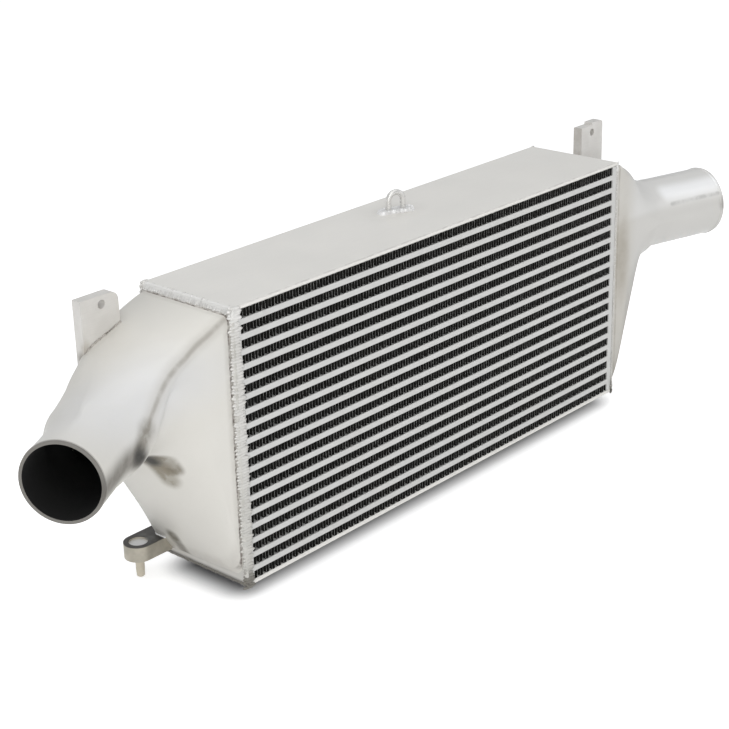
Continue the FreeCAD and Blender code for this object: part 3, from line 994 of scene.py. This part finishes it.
@dataclass
class Seam:
    """Weld ripples round a tank's flange, in four straight runs.

    Slants are in degrees from the core's face towards the tank. Shares are of the full
    width. The sink is how much of a ripple's height lies in the bead.
    """

    shop: Workshop
    recipe: Recipe
    side: Side
    inboard: float
    half_width: float
    height: float
    spacing: float
    top_gap: float = 1.0 * MM
    top_sink: float = 2.3 * MM
    top_shift: float = 2.0 * MM
    side_slant: float = 10.0
    top_slant: float = 54.0
    top_share: float = 0.65
    sole_share: float = 0.5
    sink: float = 0.2
    overlap: float = 0.74
    unevenness: float = 0.16
    tilt: float = 0.3
    seed: int = 3

    def build(self) -> None:
        """Lays the runs and dresses the bead under them."""
        low, high = (Vector(c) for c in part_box(self.side.word + "_header"))
        end = low.x if self.side is Side.LEFT else high.x
        bottom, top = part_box("core_bottom_plate")[0][2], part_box("core_top_plate")[1][2]
        top -= self.top_gap
        x = end - self.side.value * self.inboard
        edge = end + self.side.value * self.top_shift
        runs = [
            self.run((x, y, bottom), (x, y, top), (0, out, 0), self.side_slant, 1.0)
            for y, out in ((low.y, -1), (high.y, 1))
        ]
        runs += [
            self.run((edge, low.y, z), (edge, high.y, z), (0, 0, out), self.top_slant, share)
            for z, out, share in ((top - self.top_sink, 1, self.top_share),
                                  (bottom + self.top_sink, -1, self.sole_share))
        ]
        node = self.side.word + "_weld_bead"
        mesh = joined(runs)
        smooth(mesh, 180.0)
        self.shop.piece(node + "_ripples", mesh, [WELD], "weld_metal")
        self.shop.dress(node, TOE)

    def run(self, start: Point, end: Point, out: Point, slant: float, share: float) -> Mesh:
        """Ripples along one edge of the core's end.

        Args:
            start: first corner.
            end: last corner.
            out: outward normal of the core's face there.
            slant: how far the ripples lean towards the tank.
            share: share of the full width.

        Returns:
            The ripples' mesh.
        """
        lean = math.radians(slant)
        inward = Vector((-self.side.value * math.cos(lean), 0, 0))
        across = inward + Vector(out) * math.sin(lean)
        shift = -Vector(out) * self.height * self.sink
        return self.recipe.bake(line_mesh([Vector(start) + shift, Vector(end) + shift]), {
            "Spacing": self.spacing,
            "Half size": (self.half_width * share, self.height, self.spacing * self.overlap),
            "Across": tuple(across), "Unevenness": self.unevenness, "Tilt": self.tilt,
            "Seed": self.seed + self.side.value, "Finish": self.shop.finish(WELD)})


@dataclass(frozen=True)
class Bead:
    """A line of weld, in millimetres; half sizes are a ripple's across, up and along it."""

    name: str
    half_size: Point
    spacing: float
    across: Point
    kind: Metal


BRACKET_BEAD = Bead("left_bracket_weld", (1.3, 1.2, 1.7), 2.6, (0, -1, 0.6), BURN)
LUG_BEAD = Bead("lower_lug_weld", (1.5, 0.9, 2.6), 3.0, (-0.8, 0, -0.6), PAD)
LOOP_BEAD = Bead("top_loop_lumps", (3.0, 2.2, 3.0), 4.4, (0, 0, 1), PAD)


@dataclass
class Fixings:
    """Brackets, lug, pin and loop, with the welds that hold them."""

    shop: Workshop
    recipe: Recipe
    pad_middle: Point = (9.5 * MM, 14.9 * MM, 283.6 * MM)
    pad_half: tuple[float, float] = (16.0 * MM, 6.4 * MM)
    pad_rise: float = 1.2 * MM
    pad_turn: float = -24.0
    pad_power: float = 0.6
    pad_steps: int = 48
    unevenness: float = 0.25
    tilt: float = 0.5
    bracket_rays: int = 24
    lug_rays: int = 14

    def build(self) -> None:
        """Copies each fixing with smooth rounds and its own finish, and lays the welds."""
        for node, kind, slot in (
            ("left_bracket", BRACKET, "fixing_plate"), ("right_bracket", BRACKET, "fixing_plate"),
            ("lower_lug", LUG, "fixing_plate"), ("lower_pin", PIN, "pin_metal"),
            ("top_loop", ROD, "fixing_plate"), ("top_loop_weld", PAD, "weld_metal"),
        ):
            self.shop.piece(node + "_made", merged_mesh(node), [kind], slot, node)
        self.lay(BRACKET_BEAD, self.bracket_line())
        self.lay(LUG_BEAD, self.lug_line())
        self.lay(LOOP_BEAD, self.pad_line())

    def lay(self, bead: Bead, line: list[Vector]) -> None:
        """Lays one weld along a line."""
        mesh = self.recipe.bake(line_mesh(line), {
            "Spacing": bead.spacing * MM, "Half size": tuple(v * MM for v in bead.half_size),
            "Across": bead.across, "Unevenness": self.unevenness, "Tilt": self.tilt,
            "Seed": len(bead.name), "Finish": self.shop.finish(bead.kind)})
        smooth(mesh, 180.0)
        self.shop.piece(bead.name, mesh, [bead.kind], "weld_metal")

    def bracket_line(self) -> list[Vector]:
        """Where the left bracket's front meets the tank, seen from above."""
        low, high = (Vector(c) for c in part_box("left_bracket"))
        y = low.y - 0.2 * MM
        ends = (low.x, y, high.z), (high.x, y, high.z)
        return meeting_line(*ends, (0, 0, -1), self.bracket_rays)

    def lug_line(self) -> list[Vector]:
        """Where the lug's top meets the tank, seen from the left."""
        low, high = (Vector(c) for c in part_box("lower_lug"))
        z = high.z + 0.5 * MM
        ends = (low.x, low.y, z), (low.x, high.y, z)
        return meeting_line(*ends, (1, 0, 0), self.lug_rays)

    def pad_line(self) -> list[Vector]:
        """Rounded outline of the weld pad under the loop."""
        turn = Matrix.Rotation(math.radians(self.pad_turn), 4, "Z")
        points = []
        for step in range(self.pad_steps + 1):
            a = math.tau * step / self.pad_steps
            along, across = (
                math.copysign(abs(share) ** self.pad_power, share) * half
                for share, half in zip((math.cos(a), math.sin(a)), self.pad_half))
            points.append(Vector(self.pad_middle) + turn @ Vector((along, across, self.pad_rise)))
        return points


WHITE: Colour = (1.0, 1.0, 1.0)


@dataclass
class Studio:
    """Floor, world, camera and lamps, which have a name, place, size and power."""

    scene: bpy.types.Scene
    floor_half: float = 14.0
    floor_gap: float = 0.5 * MM
    lift: float = 0.62
    shade_half: tuple[float, float] = (0.285, 0.03)
    shade_reach: float = 0.045
    shade_colour: Colour = (0.22, 0.22, 0.23)
    paper_colours: tuple[Colour, Colour] = ((0.8, 0.8, 0.8), (0.78, 0.78, 0.78))
    room_colour: Colour = (0.96, 0.98, 1.0)
    room_strength: float = 0.5
    camera_place: Point = (-1.28988, -1.11201, 0.80348)
    azimuth: float = -47.748
    elevation: float = 21.913
    roll: float = 1.556
    lens: float = 84.53
    aim: Point = (0.0, 0.0, 0.12)
    lamps: list[tuple[str, Point, float, float]] = field(default_factory=lambda: [
        ("overhead", (-0.2, 0.1, 2.6), 3.0, 20.0),
        ("front_left", (-1.9, -1.7, 2.2), 2.6, 19.5),
        ("front_right", (1.9, -2.2, 1.3), 2.0, 9.0),
        ("low_left", (-2.0, -2.0, 0.4), 2.0, 22.0),
    ])

    def build(self) -> None:
        """Sets the stage."""
        self.scene.view_settings.view_transform = "Standard"
        self.lay_floor()
        self.light()
        self.place_camera()

    def lay_floor(self) -> None:
        """Pale floor that keeps the object's shadow."""
        level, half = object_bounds()[0][2] - self.floor_gap, self.floor_half
        mesh = bpy.data.meshes.new("floor")
        mesh.from_pydata([(-half, -half, level), (half, -half, level), (half, half, level),
                          (-half, half, level)], [], [(0, 1, 2, 3)])
        mesh.materials.append(self.paper())
        floor = bpy.data.objects.new("floor", mesh)
        self.scene.collection.objects.link(floor)
        floor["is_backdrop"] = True

    def paper(self) -> Material:
        """Sheet that glows a little wherever it is seen, except under the core, where its colour
        also darkens into a painted shadow.
        """
        material = bpy.data.materials.new("floor_paper")
        desk = Painter(material)
        path = desk.add("ShaderNodeLightPath").outputs
        seen = desk.sum("MAXIMUM", path["Is Camera Ray"], path["Is Glossy Ray"])
        seen = desk.sum("MAXIMUM", seen, path["Is Transmission Ray"])
        open_floor = self.open_share(desk)
        sheet = desk.blend(desk.clouds(3.0), *self.paper_colours)
        # painted shadow: under the core the sheet's colour turns to shade_colour
        paper = desk.add("ShaderNodeBsdfDiffuse", {
            "Color": desk.blend(open_floor, self.shade_colour, sheet)})
        glow = desk.add("ShaderNodeEmission", {"Strength": desk.times(open_floor, self.lift)})
        both = desk.add("ShaderNodeAddShader", {0: paper, 1: glow})
        desk.close(desk.overlay(seen, paper, both))
        return material

    def open_share(self, desk: Painter) -> Socket:
        """How far the floor is from the patch under the core, from 0 to 1."""
        sides = desk.add("ShaderNodeCombineXYZ")
        for letter, half in zip("XY", self.shade_half):
            past = desk.sum("SUBTRACT", desk.sum("ABSOLUTE", desk.axis(letter)), half)
            desk.plug(desk.sum("MAXIMUM", past), sides.inputs[letter])
        away = desk.vector("LENGTH", sides, result="Value")
        return desk.spread(away, 0.0, self.shade_reach)

    def light(self) -> None:
        """Soft lamps, and a pale world that the camera sees as white."""
        self.scene.world = bpy.data.worlds.new("pale_room")
        desk = Painter(self.scene.world)
        path = desk.add("ShaderNodeLightPath").outputs
        seen = desk.sum("MAXIMUM", path["Is Camera Ray"], path["Is Transmission Ray"])
        room, back = (
            desk.add("ShaderNodeBackground", {"Color": colour, "Strength": strength})
            for colour, strength in ((self.room_colour, self.room_strength), (WHITE, 1.0)))
        desk.close(desk.overlay(seen, room, back), "ShaderNodeOutputWorld")
        for name, place, size, power in self.lamps:
            data = bpy.data.lights.new(name, "AREA")
            data.shape = "DISK"
            data.size = size
            data.energy = power
            lamp = bpy.data.objects.new(name, data)
            lamp.location = place
            way = Vector(self.aim) - Vector(place)
            lamp.rotation_euler = way.to_track_quat("-Z", "Y").to_euler()
            self.scene.collection.objects.link(lamp)

    def place_camera(self) -> None:
        """Camera at the photograph's place, for a square frame."""
        data = bpy.data.cameras.new("camera")
        data.lens = self.lens
        camera = bpy.data.objects.new("camera", data)
        a, e = math.radians(self.azimuth), math.radians(self.elevation)
        back = Vector((math.sin(a) * math.cos(e), -math.cos(a) * math.cos(e), math.sin(e)))
        level = (-back).to_track_quat("-Z", "Y")
        camera.rotation_mode = "QUATERNION"
        camera.rotation_quaternion = level @ Quaternion((0, 0, 1), -math.radians(self.roll))
        camera.location = self.camera_place
        self.scene.collection.objects.link(camera)
        self.scene.camera = camera


def main() -> None:
    """Builds every sub-assembly in order."""
    logging.basicConfig(level=logging.INFO, format="%(message)s")
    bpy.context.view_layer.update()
    shop = Workshop()
    ripples = ripple_recipe()
    Studio(bpy.context.scene).build()
    Core(shop).build()
    Tank(shop, Side.LEFT, mouth=(-0.51406, -0.06566, 0.1913), axis=LEFT_PIPE_AXIS,
         radius=38.1 * MM, lip_rise=0.4 * MM, lip_width=1.4 * MM, finish=LEFT_TANK).build()
    Tank(shop, Side.RIGHT, mouth=(0.49046, -0.06087, 0.1950), axis=RIGHT_PIPE_AXIS,
         radius=40.0 * MM, lip_rise=0.8 * MM, lip_width=3.0 * MM, finish=RIGHT_TANK).build()
    Seam(shop, ripples, Side.LEFT, inboard=0.8 * MM, half_width=7.3 * MM,
         height=1.25 * MM, spacing=3.0 * MM).build()
    Seam(shop, ripples, Side.RIGHT, inboard=-2.0 * MM, half_width=2.9 * MM,
         height=0.7 * MM, spacing=2.6 * MM).build()
    Fixings(shop, ripples).build()


if __name__ == "__main__":
    main()
